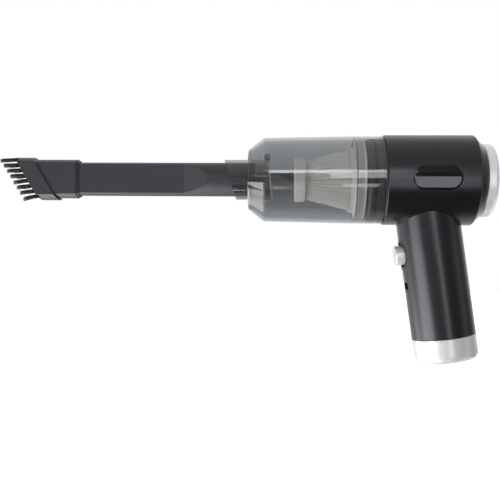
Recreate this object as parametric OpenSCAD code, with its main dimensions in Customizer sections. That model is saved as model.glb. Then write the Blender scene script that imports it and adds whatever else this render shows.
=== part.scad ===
// Cordless mini vacuum cleaner, in millimetres.
// +X runs along the suction axis from the nozzle to the outlet, +Z is up.
// The origin is the centre of the flat face at the foot of the handle.

/* [Dust cup] */
// Length of the dust cup from its front face to the seam with the collar
cup_len = 75; // [66:1:95]
// Width of the cup's front face outside the inlet tube
cup_front_w = 7.6; // [5.6:0.1:9]
// Length of the cone behind the front face
cup_cone_len = 11.2; // [8:0.2:14]
// Draft of the cup: its rear edge stands out of the cone's end by this
cup_draft = 1.1; // [0.4:0.1:1.5]
// Wall of the cup
cup_wall = 2; // [1.5:0.1:2.4]
// Length of the lip that plugs into the collar
cup_lip_len = 5; // [3:0.5:6]
// Wall of the lip
cup_lip_wall = 1.2; // [1:0.1:1.3]

/* [Inlet tube] */
// Outer radius of the inlet tube
tube_r = 14.4; // [14:0.1:15.5]
// How far the middle of the slanted mouth stands in front of the cup
tube_mouth_out = 13.2; // [11:0.2:18]
// Lean of the slanted mouth
tube_mouth_lean = 17; // [0:1:20]
// How far the middle of the slanted inner end reaches into the cup
tube_inner_in = 14.6; // [13:0.2:15]
// Lean of the inner end that the flap closes
tube_inner_lean = 5.8; // [0:0.2:8]
// Depth inside the cup at which a ledge stops the tool
tube_ledge_in = 4.3; // [3:0.1:6]
// Height of the ledge
tube_ledge = 1; // [0.6:0.1:1.2]

/* [Flap] */
// Radius of the non-return flap
flap_r = 13.6; // [13:0.1:14]
// Thickness of the flap
flap_t = 1.1; // [0.8:0.1:1.6]
// Radius of the flap's hinge pin
flap_pin_r = 0.8; // [0.7:0.05:1]
// Width of the flap's knuckle
flap_knuckle_w = 7; // [5:0.5:9]
// Thickness of each ear that holds the pin
flap_ear_t = 1.8; // [1.4:0.1:2.4]

/* [Filter] */
// Room round the filter's rear flange inside the cup's lip
filter_rim_gap = 0.5; // [0.4:0.1:2]
// Thickness of the rear flange
filter_flange_t = 6.4; // [4:0.2:7]
// Step from the rear flange in to the ring that the pleats sit on
filter_ring_step = 4.3; // [3.6:0.1:5]
// Length of that ring
filter_ring_len = 4; // [3:0.2:5]
// Length of the pleated cone
media_len = 31.3; // [26:0.1:33]
// Step from that ring in to the ridges of the pleats
media_step = 1.5; // [1:0.1:2.2]
// Ridge radius of the pleats at the front
media_front_r = 14; // [13.5:0.1:15]
// Number of pleats
pleats = 40; // [24:1:48]
// Depth of a pleat at the rear
pleat_depth = 3; // [2:0.1:3.4]
// Thickness of the pleated paper, measured along the radius
media_t = 1.4; // [1:0.1:1.6]
// Radius of the filter's front cap
filter_cap_r = 15.85; // [15.2:0.05:16.5]
// Length of the front cap
filter_cap_len = 7.5; // [5:0.1:8]
// Wall of the cage inside the pleats
cage_wall = 1.2; // [1:0.1:1.6]

/* [Collar] */
// How far the twist collar's surface lies under the housing's
collar_step = 0.9; // [0:0.1:1]
// Wall of the twist collar
collar_wall = 1.5; // [1.4:0.1:1.8]
// Length of the twist collar
collar_len = 19.4; // [17:0.1:22]
// Radius of a bayonet lug
lug_r = 1.4; // [1.2:0.1:1.6]
// Number of bayonet lugs
lug_count = 3; // [2:1:4]
// Twist that frees the lugs
lug_twist = 20; // [14:1:30]
// Distance from the collar's rear edge to the lugs
lug_from_rear = 8; // [6:0.2:10]

/* [Housing] */
// Radius of the motor housing
housing_r = 32; // [31.8:0.05:34]
// Length of the motor housing
housing_len = 62.5; // [61.5:0.5:72]
// Wall of the motor housing
housing_wall = 2.2; // [1.8:0.1:2.4]
// Open groove between the collar and the housing
groove_w = 1.2; // [0.6:0.1:2]
// Round edge at the housing's rear
housing_edge_r = 1; // [0.6:0.1:1.6]
// Length of the inlay
badge_len = 32.6; // [24:0.2:36]
// Height of the inlay
badge_h = 15.5; // [10:0.1:18]
// Thickness of the inlay
badge_t = 0.9; // [0.6:0.1:1]
// How far the inlay's middle lies below the suction axis
badge_drop = 1.4; // [0:0.1:3]
// How far the inlay lies under the housing's surface
badge_inset = 0.15; // [0.05:0.05:0.3]

/* [Spigot] */
// Wall of the spigot that carries the collar
spigot_wall = 2; // [1.6:0.1:2.4]
// Round front corner of the spigot
spigot_corner_r = 3.7; // [2.5:0.1:4.5]
// Rim of the spigot's air inlet inside the filter's opening
intake_rim_w = 1.4; // [0.4:0.1:4]
// Width of the guard bars across the air inlet
intake_bar_w = 1.6; // [1.2:0.1:2.2]

/* [Rear end] */
// Length of the gloss cone behind the housing
rear_cone_len = 6; // [5:0.2:9]
// Step from the housing in to the outlet ring
ring_step = 6.2; // [5:0.1:8]
// Length of the outlet ring
ring_len = 7.2; // [4.5:0.1:8]
// Rounding of the outlet ring at its rear rim
ring_edge_r = 2.6; // [1.8:0.1:3.6]
// Width of the outlet ring's flat rear face
ring_face_w = 6.2; // [4.2:0.1:8]
// Thickness of the outlet grille
grille_t = 2; // [1.5:0.1:3]
// Thickness of the foam exhaust filter
foam_t = 4; // [3:0.5:6]

/* [Motor and fan] */
// Radius of the motor can
motor_r = 13.85; // [12.5:0.05:14.2]
// Length of the motor can
motor_len = 36; // [30:0.5:37]
// Radius of the motor shaft
shaft_r = 1.15; // [1:0.05:1.5]
// Room between the impeller and the fan shroud
impeller_room = 2; // [1.5:0.1:4]
// Height of the impeller's blades
blade_h = 7; // [5:0.5:8]
// Number of impeller blades
blades = 9; // [7:1:12]
// Air channel between the fan shroud and the housing
shroud_room = 3.8; // [3.3:0.1:5.3]

/* [Handle] */
// Radius of the handle tube
handle_r = 22.3; // [22.2:0.1:24]
// Wall of the handle tube
handle_wall = 1.7; // [1.4:0.1:1.8]
// Distance along the handle from the suction axis to the foot cap
handle_len = 112; // [110:1:130]
// Lean of the handle, foot towards the outlet
handle_lean = 8.2; // [0:0.2:14]
// Distance along the suction axis from the housing's front edge to the handle's axis
handle_from_front = 28.4; // [27:0.1:32]
// Length of the foot cap
cap_len = 17; // [13:0.5:22]
// Rounding of the foot cap
cap_round_r = 4.4; // [2:0.2:6]
// Wall of the foot cap
cap_wall = 2; // [1.6:0.1:2.6]

/* [Button] */
// Radius of the power button
button_r = 7; // [6:0.1:8]
// How far the button stands out of the handle
button_out = 4.3; // [3:0.1:5.5]
// Stroke of the button
button_stroke = 1.3; // [0.8:0.1:1.5]
// Distance along the handle from the housing's surface to the button
button_from_housing = 19; // [19:0.5:26]
// Radius of the recess round the button
bezel_r = 10.5; // [9.6:0.1:11]
// Depth of the recess below the handle's surface
bezel_depth = 3.5; // [2.5:0.1:4]

/* [Charging port] */
// Distance along the handle from the button to the port
port_from_button = 22.5; // [20:0.5:27]
// Width of the port's slot
port_w = 11; // [9:0.5:13]
// Height of the port's slot
port_h = 4.9; // [4.8:0.1:6]
// Depth of the port's slot
port_depth = 7; // [5:0.5:9]
// Radius of the status lamp
led_r = 0.8; // [0.6:0.1:1.2]

/* [Battery and board] */
// Gap between the battery cells and the handle's bore
cell_wall_gap = 0.27; // [0.25:0.01:0.6]
// Gap between the cells' holder and the seam of the foot cap
pack_foot_gap = 3.6; // [0.5:0.1:6]
// Distance from the circuit board's end to the cells' end
board_foot_gap = 11; // [5:0.5:15]
// Width of the circuit board
board_w = 30; // [24:1:32]
// Thickness of the circuit board
board_t = 1.4; // [1:0.1:1.6]

/* [Crevice tool] */
// Radius of the tool's round spigot
tool_r = 12.15; // [11.8:0.05:12.4]
// Half thickness of the tool where it is flat
tool_flat = 6.5; // [5.8:0.1:8]
// Wall of the tool
tool_wall = 1.6; // [1.3:0.1:1.8]
// Length of the tool in front of the dust cup, to the middle of its slanted tip
tool_len = 146; // [120:1:170]
// Distance from the dust cup to the start of the round spigot
ramp_from_cup = 28.7; // [24:0.1:36]
// Length of the ramp down to the flats
ramp_len = 17.5; // [12:0.5:24]

/* [Brush] */
// Lean of the brush's mouth
brush_lean = 30.7; // [10:0.5:34]
// Distance from the tool's tip back to the sleeve's rear end
brush_overlap = 22.8; // [19:0.2:30]
// Wall of the brush sleeve
brush_wall = 1.65; // [1.3:0.05:2]
// Distance from the tool's tip to the flange's front, along the middle
brush_front_out = 14.65; // [13:0.05:20]
// Length of the flange along the suction axis
brush_flange_len = 13; // [8:0.5:15]
// How far the flange stands out of the sleeve
brush_flange_out = 1.4; // [0.8:0.1:2]
// Length of the bristles in front of the flange
bristle_len = 12.3; // [8:0.1:18]
// Tufts in a row
tufts = 8; // [6:1:9]
// Distance between tufts, measured down the row
tuft_pitch = 3.75; // [3:0.05:3.9]
// Radius of a tuft at its root
tuft_r = 1.05; // [0.8:0.05:1.2]
// Strands in a tuft
tuft_strands = 24; // [18:1:24]
// Radius of a strand
strand_r = 0.12; // [0.08:0.01:0.13]

/* [Fits] */
// Clearance between pieces that slide or turn on each other
slide_gap = 0.3; // [0.2:0.05:0.35]
// Radial clearance of a pin in its hole
pin_gap = 0.08; // [0.04:0.01:0.1]
// Clearance between fixed pieces that nest in each other
nest_gap = 0.1; // [0.05:0.01:0.2]
// Visible seam between the cup and the collar
seam_gap = 0.2; // [0.1:0.05:0.4]

/* [Hidden] */
$fn = 72;

// One overrun for every cut
over = 1;
// Small bevel of the edges at the seams
seam_edge = 0.35;

// Stations along the suction axis, counted from the dust cup's front face
seam_a = cup_len;
collar_a = seam_a + seam_gap;
collar_end_a = collar_a + collar_len;
housing_a = collar_end_a + groove_w;
housing_end_a = housing_a + housing_len;
cone_end_a = housing_end_a + rear_cone_len;
ring_end_a = cone_end_a + ring_len;
cross_a = housing_a + handle_from_front;

// Place of the suction axis in the part's frame
foot_h = handle_len + cap_len;
axis_h = foot_h * cos(handle_lean);
cross_x = -foot_h * sin(handle_lean);
front_x = cross_x - cross_a;

// Dust cup and inlet tube
collar_r = housing_r - collar_step;
cup_rear_r = collar_r;
cup_shoulder_r = cup_rear_r - cup_draft;
cup_front_r = tube_r + cup_front_w;
cup_edge_r = 1.2;
tube_bore_r = tool_r + slide_gap;
cup_bore_rear_r = cup_rear_r - cup_wall;
collar_bore_r = collar_r - collar_wall;
lip_r = collar_bore_r - slide_gap;
lip_bore_r = lip_r - cup_lip_wall;
lip_root_len = 3;
reach = 2 * housing_r;

// Flap hinge
ear_h = 2.4;
knuckle_r = flap_pin_r + pin_gap + 0.8 * flap_t;
flap_seat_gap = 0.2;
pin_up = tube_r + knuckle_r;
pin_a = tube_inner_in - pin_up * tan(tube_inner_lean) + flap_seat_gap + flap_t / 2;
ear_gap = 0.25;
ear_outer = flap_knuckle_w / 2 + ear_gap + flap_ear_t;

// Filter stations
filter_end_share = 0.34;
filter_end_a = seam_a + (housing_a - seam_a) * filter_end_share;
filter_flange_a = filter_end_a - filter_flange_t;
filter_ring_a = filter_flange_a - filter_ring_len;
media_a = filter_ring_a - media_len;
filter_cap_a = media_a - filter_cap_len;
filter_flange_r = lip_bore_r - filter_rim_gap;
filter_ring_r = filter_flange_r - filter_ring_step;
media_rear_r = filter_ring_r - media_step;
media_front_depth = pleat_depth * media_front_r / media_rear_r;
cage_gap = 0.4;
cage_rear_r = media_rear_r - pleat_depth - media_t - cage_gap;
cage_front_r = media_front_r - media_front_depth - media_t * media_front_r / media_rear_r - cage_gap;
filter_bore_r = cage_rear_r - cage_wall - cage_gap;
cage_windows = 3;
cage_rim_len = 2.4;
cage_rib_w = 2;

// Spigot and collar lock
spigot_r = collar_bore_r - slide_gap - 0.05 * collar_wall;
spigot_a = filter_end_a + slide_gap;
intake_r = filter_bore_r - intake_rim_w;
spigot_plate_t = 2;
spigot_root_len = 3.2;
spigot_root_r = housing_r - housing_wall - nest_gap;
lug_a = collar_end_a - lug_from_rear;
lug_out = 0.85;
lug_slot_r = spigot_r + lug_out + slide_gap;
lug_clear_angle = asin((lug_r + slide_gap) / spigot_r);
seal_w = 2;
seal_depth = 1;
seal_proud = 0.1;
seal_from_front = 1.2;
seal_a = spigot_a + spigot_corner_r + seal_from_front;

// Housing insides
housing_bore_r = housing_r - housing_wall;
boss_r = 3.1;
boss_hole_r = 1.1;
boss_up_share = 0.7;
boss_up = housing_r * boss_up_share;
boss_places = [
    [housing_a + 0.26 * housing_len, 1], [housing_end_a - 0.3 * housing_len, 1],
    [housing_end_a - 0.3 * housing_len, -1]
];
screw_r = 1;
screw_head_r = 2.4;
screw_head_t = 1.6;
screw_seat_in = 7.65;
screw_seat_y = sqrt(pow(housing_bore_r, 2) - pow(boss_up, 2)) - screw_seat_in;
screw_len = 16;
head_clear = 0.3;
badge_shift = 1.6;
badge_a = (housing_a + housing_end_a) / 2 + badge_shift;
badge_gap = 0.25;
wire_hole_r = 4;

// Neck that the handle slides on
neck_r = handle_r - handle_wall - nest_gap;
neck_wall = 1.8;
neck_out = 8;
neck_end = housing_r + neck_out;
saddle_gap = 0.15;

// Rear end
ring_r = housing_r - ring_step;
ring_rim_r = ring_r - ring_edge_r;
outlet_r = ring_rim_r - ring_face_w;
rear_root_len = 8;
rear_root_r = housing_bore_r - nest_gap;
rear_wall = 4.2;
rear_bore_r = outlet_r + rear_wall;
cone_start_r = housing_r - housing_edge_r + 0.05 * housing_edge_r;
ring_root_r = rear_bore_r - nest_gap;
grille_a = cone_end_a - grille_t - nest_gap;
grille_rim_w = 1.5;
foam_a = grille_a - foam_t;
grille_bar_w = 1.6;
grille_rings = 4;
grille_edge = 0.2;
grille_pitch = (outlet_r - grille_edge) / grille_rings;
grille_spokes = 6;
grille_hub_r = 2.4;
foam_ledge_t = 1.5;

// Fan and motor stations
fan_gap = 1.2;
shroud_wall = 1.5;
shroud_r = housing_bore_r - shroud_room;
impeller_r = shroud_r - shroud_wall - impeller_room;
shroud_a = spigot_a + spigot_plate_t + 1.1 * shroud_wall;
blade_a = shroud_a + shroud_wall + fan_gap;
blade_t = 0.9;
blade_sweep = 70;
blade_root_r = 7.2;
blade_tip_r = impeller_r - blade_t / 2;
backplate_t = 1.5;
impeller_end_a = blade_a + blade_h + backplate_t;
hub_r = 4;
impeller_eye_r = 9;
mount_t = 2;
mount_a = impeller_end_a + 1.2 * fan_gap;
motor_a = mount_a + mount_t;
motor_end_a = motor_a + motor_len;
mount_hole_r = 4.2;
mount_vent_wall = 2.125;
mount_vent_r = (shroud_r - shroud_wall - motor_r) / 2 - mount_vent_wall;
mount_vents = 8;
mount_screw_off = 8;
mount_screw_r = 1.2;
can_wall = 1.2;
bearing_r = 3;
bearing_len = 1.6;
bell_len = 3;
bell_boss_len = 2;
magnet_r = motor_r - can_wall - nest_gap;
magnet_t = 2.4;
magnet_angle = 130;
magnet_inset = 6;
armature_r = magnet_r - magnet_t - 0.5 * can_wall;
armature_inset = 7;
armature_slot_w = 1.4;
shaft_end_in = 0.4;
support_from_end = 11;
support_t = 6;
support_ring_t = 3;
support_spoke_w = 4;
support_spokes = 6;
shroud_flange_t = 2;

// Foot cap and what stands in it
cap_step = 0.15;
cap_r = handle_r - cap_step;
cap_face_r = cap_r - cap_round_r;
cap_tab_r = handle_r - handle_wall - nest_gap;
cap_tab_t = 1.2;
cap_tab_len = 5;
cap_tab_angle = 22;
cap_tab_angles = [0, 62, 180, 298];
cap_floor_t = 3;
cap_post_r = 2;
cap_post_out = 12;

// Battery pack, in the handle's frame: front is +, down the handle is +
plate_gap = 0.6;
plate_t = 1.4;
pack_top = neck_end + plate_gap;
cell_top = pack_top + plate_t;
pack_end = handle_len - pack_foot_gap;
cell_end = pack_end - plate_t;
cell_len = cell_end - cell_top;
cell_back = -6.3;
cell_gap = 0.2;
cell_room_r = handle_r - handle_wall - cell_wall_gap;
cell_r = (pow(cell_room_r, 2) - pow(cell_back, 2) - pow(cell_gap, 2)) / (2 * (cell_room_r + cell_gap));
cell_side = cell_r + cell_gap;
wall_x = cell_back + cell_r + cell_gap;
pack_wall_t = 1.2;
pack_edge_gap = 0.25;
pack_r = cap_tab_r - cap_tab_t - pack_edge_gap;
standoff_r = 2.2;
standoff_h = 2.8;
standoff_side = 11;
board_x = wall_x + pack_wall_t + standoff_h;
board_face_x = board_x + board_t;
board_from_top = 2;
board_top = cell_top + board_from_top;
board_len = cell_end - board_foot_gap - board_top;
board_screw_r = 0.9;
board_screw_head_r = 1.8;
board_screw_head_t = 1.2;
board_screw_len = 4.5;
standoff_in = 4;
board_places = [for (d = [standoff_in, board_len - standoff_in]) for (s = [-1, 1])
    [s * standoff_side, board_top + d]];

// Button and switch
button_down = housing_r + button_from_housing;
button_face_x = handle_r + button_out;
bezel_floor_x = handle_r - bezel_depth;
bezel_floor_t = 1.3;
bezel_wall = 1.1;
bezel_proud = 0.35;
bezel_flange_out = 1;
bezel_flange_t = 1.2;
bezel_flange_gap = 0.4;
bezel_flange_x =
    sqrt(pow(handle_r - handle_wall, 2) - pow(bezel_r + bezel_flange_out, 2)) - bezel_flange_gap;
bezel_back_x = bezel_flange_x - bezel_flange_t;
button_edge_r = 0.9;
button_flange_out = 1.1;
button_flange_t = 1.2;
button_back_x = bezel_floor_x - bezel_floor_t - slide_gap - button_flange_t;
plunger_r = 1.6;
switch_w = 8;
switch_h = 4.6;
switch_x = board_face_x + switch_h;
plunger_in = button_stroke + 1.2;

// Port and lamp
port_down = button_down + port_from_button;
port_wall = 1;
port_face_in = 0.4;
led_up = 4.7;

// Crevice tool and brush stations
tool_end_a = tube_ledge_in - slide_gap;
ramp_end_a = -ramp_from_cup;
ramp_a = ramp_end_a - ramp_len;
tip_a = -tool_len;
socket_r = tool_r + slide_gap;
socket_flat = tool_flat + slide_gap;
sleeve_r = socket_r + brush_wall;
sleeve_flat = socket_flat + brush_wall;
sleeve_end_a = tip_a + brush_overlap;
sleeve_lip_len = 1.5;
sleeve_lip_in = 1;
flange_front_a = tip_a - brush_front_out;
flange_back_a = flange_front_a + brush_flange_len;
flange_r = sleeve_r + brush_flange_out;
flange_flat = sleeve_flat + brush_flange_out;
strip_w = 3.2;
strip_t = 1.4;
strip_edge = 0.6;
strip_end = 1.8;
strip_y = flange_flat - strip_w / 2 - strip_edge;
strip_len = (tufts - 1) * tuft_pitch + 2 * strip_end;
strip_slant_len = strip_len / cos(brush_lean);
strip_gap = 0.05;
root_in = 0.7;
splay = 2.2;
duct_flat = tool_flat - tool_wall;

// Leads from the board to the motor, as steps chosen by hand
lead_r = 0.8;
lead_side = 2;
lead_sides = 8;
lead_turn_a = motor_end_a + bell_len + 2.5 * lead_r;
lead_rise_a = motor_end_a - support_from_end + support_t + 2.5 * lead_r;
lead_up = motor_r + 3 * lead_r;

// Points of an arc about a centre
function arc_points(cx, cy, r, from, to, steps = 6) =
    [for (i = [0 : steps]) let (t = from + (to - from) * i / steps) [cx + r * cos(t), cy + r * sin(t)]];

// A point of the handle's frame, given in the frame of the suction axis
function from_handle(x, y, down) =
    [cross_a - cos(handle_lean) * x + sin(handle_lean) * down, y,
     -sin(handle_lean) * x - cos(handle_lean) * down];

module along_axis() translate([front_x, 0, axis_h]) children();

// Outline given as [radius, station], turned round the suction axis
module turned() along_axis() rotate([0, 90, 0]) rotate_extrude() children();

// Solid rod on the suction axis between two stations
module rod(r, from, to)
    along_axis() translate([from, 0, 0]) rotate([0, 90, 0]) cylinder(r = r, h = to - from);

// Ring on the suction axis between two stations
module ring(r, bore, from, to)
    turned() translate([bore, from]) square([r - bore, to - from]);

// Local x points to the front of the handle, local z down along it
module along_handle() translate([cross_x, 0, axis_h]) rotate([0, 180 - handle_lean, 0]) children();

module turned_on_handle() along_handle() rotate_extrude() children();

// Rod that points to the front of the handle
module front_rod(r, down, from, to, side = 0)
    along_handle() translate([from, side, down]) rotate([0, 90, 0]) cylinder(r = r, h = to - from);

// Side view given as [station, height], spread to both sides of the suction axis
module side_view(half_w, points)
    along_axis() rotate([90, 0, 0]) linear_extrude(2 * half_w, center = true) polygon(points);

// Everything between two cuts across the axis, each with its top leaning forward
module between_cuts(front_a, front_lean, rear_a, rear_lean)
    side_view(reach, [
        [front_a - reach * tan(front_lean), reach], [rear_a - reach * tan(rear_lean), reach],
        [rear_a + reach * tan(rear_lean), -reach], [front_a + reach * tan(front_lean), -reach]
    ]);

// Bar along the axis with a round section cut flat on both sides
module flat_bar(r, flat, from, to)
    along_axis() translate([from, 0, 0]) rotate([0, 90, 0]) linear_extrude(to - from)
        intersection() {
            circle(r);
            square([2 * r + over, 2 * flat], center = true);
        }

// Cup: front wall, cone, drafted wall and the lip that plugs into the collar
module cup_shell()
    turned() polygon(concat(
        [[0, 0]],
        arc_points(cup_front_r - cup_edge_r, cup_edge_r, cup_edge_r, -90, -20, 4),
        [
            [cup_shoulder_r, cup_cone_len], [cup_rear_r, seam_a - seam_edge],
            [cup_rear_r - seam_edge, seam_a],
            [lip_r, seam_a], [lip_r, seam_a + cup_lip_len], [lip_bore_r, seam_a + cup_lip_len],
            [lip_bore_r, seam_a], [cup_bore_rear_r - cup_wall / cup_len, seam_a - lip_root_len],
            [cup_shoulder_r - cup_wall, cup_cone_len + cup_wall / 2],
            [cup_front_r - cup_wall / 2, cup_wall], [0, cup_wall]
        ]
    ));

module flap_ears()
    for (s = [-1, 1])
        difference() {
            along_axis() translate([0, s * (ear_outer - flap_ear_t / 2), 0]) rotate([90, 0, 0])
                linear_extrude(flap_ear_t, center = true) polygon([
                    [pin_a - ear_h, tube_r - tube_ledge], [pin_a - ear_h, pin_up + knuckle_r],
                    [pin_a + knuckle_r, pin_up + knuckle_r], [pin_a + knuckle_r, tube_r],
                    [tube_inner_in - tube_r * tan(tube_inner_lean), tube_r - tube_ledge]
                ]);
            flap_pin_rod(flap_pin_r + nest_gap / 2, ear_outer + over);
        }

// Rod on the flap's hinge line, to the same length on both sides
module flap_pin_rod(r, half_len)
    along_axis() translate([pin_a, 0, pin_up]) rotate([90, 0, 0])
        cylinder(r = r, h = 2 * half_len, center = true);

module dust_cup()
    color([0.42, 0.44, 0.45, 0.5])
    difference() {
        union() {
            cup_shell();
            intersection() {
                rod(tube_r, -reach, reach);
                between_cuts(-tube_mouth_out, tube_mouth_lean, tube_inner_in, tube_inner_lean);
            }
            flap_ears();
        }
        rod(tube_bore_r, -reach, tube_ledge_in);
        rod(tube_bore_r - tube_ledge, 0, tube_inner_in + tube_r);
    }

module flap_pin()
    color("silver") flap_pin_rod(flap_pin_r, ear_outer);

module inlet_flap()
    color("gray")
    difference() {
        union() {
            along_axis() translate([tube_inner_in + flap_seat_gap / cos(tube_inner_lean), 0, 0])
                rotate([0, 90 - tube_inner_lean, 0]) {
                    cylinder(r = flap_r, h = flap_t);
                    translate([-pin_up, -flap_knuckle_w / 2, 0])
                        cube([pin_up, flap_knuckle_w, flap_t]);
                }
            flap_pin_rod(knuckle_r, flap_knuckle_w / 2);
        }
        flap_pin_rod(flap_pin_r + pin_gap, flap_knuckle_w);
    }

// Bayonet slot: a run round the collar and a way out to its rear edge, below the lug
module lug_slot(i)
    along_axis() rotate([i * 360 / lug_count, 0, 0]) rotate([0, 90, 0])
        for (run = [
            [-90 + lug_clear_angle, -lug_twist - 2 * lug_clear_angle, lug_a + lug_r + slide_gap],
            [-90 - lug_twist + lug_clear_angle, -2 * lug_clear_angle, collar_end_a + over]
        ])
            rotate([0, 0, run[0] + run[1]]) rotate_extrude(angle = -run[1])
                translate([spigot_r, lug_a - lug_r - slide_gap])
                    square([lug_slot_r - spigot_r, run[2] - lug_a + lug_r + slide_gap]);

module cup_collar()
    color([0.45, 0.47, 0.48, 0.5])
    difference() {
        turned() polygon([
            [collar_bore_r, collar_a], [collar_r - seam_edge, collar_a],
            [collar_r, collar_a + seam_edge], [collar_r, collar_end_a - seam_edge],
            [collar_r - seam_edge, collar_end_a], [collar_bore_r, collar_end_a]
        ]);
        for (i = [0 : lug_count - 1]) lug_slot(i);
    }

module filter_flange()
    color("lightgray")
    turned() polygon([
        [filter_bore_r, filter_ring_a], [filter_ring_r, filter_ring_a],
        [filter_ring_r, filter_flange_a], [filter_flange_r, filter_flange_a],
        [filter_flange_r, filter_end_a], [filter_bore_r, filter_end_a]
    ]);

// Pleated paper: ridges and valleys round the cone, with an inner copy one paper thickness in
function pleat_ring(r, depth, thick, a) =
    [for (i = [0 : 2 * pleats - 1]) let (q = r - thick - (i % 2) * depth, t = 180 * i / pleats)
        [a, q * cos(t), q * sin(t)]];

module filter_media() {
    n = 2 * pleats;
    front_share = media_front_r / media_rear_r;
    points = concat(
        pleat_ring(media_front_r, media_front_depth, 0, media_a),
        pleat_ring(media_rear_r, pleat_depth, 0, filter_ring_a),
        pleat_ring(media_rear_r, pleat_depth, media_t, filter_ring_a),
        pleat_ring(media_front_r, media_front_depth, media_t * front_share, media_a)
    );
    faces = [for (band = [0 : 3]) for (i = [0 : n - 1])
        let (p = band * n + i, q = band * n + (i + 1) % n, s = (band + 1) % 4 * n + i,
             t = (band + 1) % 4 * n + (i + 1) % n)
        for (f = [[p, s, q], [q, s, t]]) f];
    color("whitesmoke") along_axis() polyhedron(points, faces);
}

module filter_cap()
    color("ivory")
    turned() polygon(concat(
        [[0, filter_cap_a]],
        arc_points(filter_cap_r - cup_edge_r, filter_cap_a + cup_edge_r, cup_edge_r, -90, 0, 4),
        [[filter_cap_r, media_a], [0, media_a]]
    ));

module filter_cage()
    color("darkgray")
    difference() {
        turned() polygon([
            [0, media_a], [cage_front_r, media_a], [cage_rear_r, filter_ring_a],
            [cage_rear_r - cage_wall, filter_ring_a], [cage_front_r - cage_wall, media_a + cage_wall],
            [0, media_a + cage_wall]
        ]);
        along_axis() for (i = [0 : cage_windows - 1]) rotate([i * 180 / cage_windows, 0, 0])
            translate([media_a + cage_rim_len, -reach, -cage_front_r / 2 + cage_rib_w / 2])
                cube([media_len - 2 * cage_rim_len, 2 * reach, cage_front_r - cage_rib_w]);
    }

module spigot_lugs()
    along_axis() for (i = [0 : lug_count - 1])
        rotate([i * 360 / lug_count, 0, 0]) translate([lug_a, -spigot_r + spigot_wall / 2, 0])
            rotate([90, 0, 0]) cylinder(r = lug_r, h = spigot_wall / 2 + lug_out);

module housing_spigot()
    color([0.08, 0.08, 0.09])
    difference() {
        union() {
            turned() polygon(concat(
                [[intake_r, spigot_a]],
                arc_points(spigot_r - spigot_corner_r, spigot_a + spigot_corner_r,
                           spigot_corner_r, -90, 0),
                [
                    [spigot_r, housing_a], [spigot_root_r, housing_a],
                    [spigot_root_r, housing_a + spigot_root_len],
                    [spigot_r - spigot_wall, housing_a + spigot_root_len],
                    [spigot_r - spigot_wall, spigot_a + spigot_corner_r],
                    [spigot_r - spigot_corner_r, spigot_a + spigot_plate_t],
                    [intake_r, spigot_a + spigot_plate_t]
                ]
            ));
            spigot_lugs();
            along_axis() for (t = [0, 60, 120]) rotate([t, 0, 0])
                translate([spigot_a, -intake_r - over, -intake_bar_w / 2])
                    cube([spigot_plate_t, 2 * (intake_r + over), intake_bar_w]);
        }
        ring(spigot_r + over, spigot_r - seal_depth, seal_a, seal_a + seal_w);
    }

module spigot_seal()
    color([0.15, 0.15, 0.16])
    ring(spigot_r + seal_proud, spigot_r - seal_depth, seal_a, seal_a + seal_w);

// Cross rod through a housing boss, from one side station to another
module boss_rod(place, r, from, to)
    along_axis() translate([place[0], from, place[1] * boss_up]) rotate([-90, 0, 0])
        cylinder(r = r, h = to - from);

// Stadium slab that stands across the axis on the chosen side
module badge_slab(grow, side)
    along_axis() translate([badge_a, 0, -badge_drop]) rotate([side * 90, 0, 0])
        linear_extrude(reach) {
            square([badge_len - badge_h, badge_h + 2 * grow], center = true);
            for (s = [-1, 1]) translate([s * (badge_len - badge_h) / 2, 0]) circle(badge_h / 2 + grow);
        }

module neck()
    difference() {
        along_handle() difference() {
            cylinder(r = neck_r, h = neck_end);
            cylinder(r = neck_r - neck_wall, h = neck_end + over);
        }
        rod(housing_r - housing_wall / 2, 0, 2 * ring_end_a);
    }

module housing_body()
    difference() {
        union() {
            turned() polygon(concat(
                [
                    [housing_bore_r, housing_a], [housing_r - seam_edge, housing_a],
                    [housing_r, housing_a + seam_edge]
                ],
                arc_points(housing_r - housing_edge_r, housing_end_a - housing_edge_r,
                           housing_edge_r, 0, 90, 4),
                [[housing_bore_r, housing_end_a]]
            ));
            intersection() {
                rod(housing_r - housing_wall / 2, housing_a, housing_end_a);
                for (p = boss_places) boss_rod(p, boss_r, -housing_r, housing_r);
            }
            neck();
        }
        along_handle() cylinder(r = wire_hole_r, h = neck_end);
        for (side = [-1, 1])
            difference() {
                badge_slab(badge_gap, side);
                rod(housing_r - badge_inset - badge_t, 0, 2 * ring_end_a);
            }
        for (p = boss_places) {
            boss_rod(p, boss_hole_r, screw_seat_y - screw_len - over, screw_seat_y);
            boss_rod(p, screw_head_r + head_clear, screw_seat_y, reach);
        }
    }

module housing_half(side)
    intersection() {
        housing_body();
        along_axis() translate([0, side > 0 ? 0 : -reach, -2 * foot_h])
            cube([2 * ring_end_a, reach, 4 * foot_h]);
    }

module housing_left() color([0.10, 0.10, 0.11]) housing_half(-1);

module housing_right() color([0.10, 0.10, 0.11]) housing_half(1);

module housing_screws()
    color("silver") for (p = boss_places) {
        boss_rod(p, screw_r, screw_seat_y - screw_len, screw_seat_y + screw_head_t / 2);
        boss_rod(p, screw_head_r, screw_seat_y, screw_seat_y + screw_head_t);
    }

module badge(side)
    color([0.16, 0.16, 0.17])
    intersection() {
        badge_slab(0, side);
        ring(housing_r - badge_inset, housing_r - badge_inset - badge_t, housing_a, housing_end_a);
    }

module badge_left() badge(1);

module badge_right() badge(-1);

module rear_cone()
    color([0.05, 0.05, 0.06])
    turned() polygon([
        [rear_bore_r, foam_a - foam_ledge_t], [rear_root_r, housing_end_a - rear_root_len],
        [rear_root_r, housing_end_a], [cone_start_r, housing_end_a],
        [ring_r - seam_edge, cone_end_a], [rear_bore_r, cone_end_a]
    ]);

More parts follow.
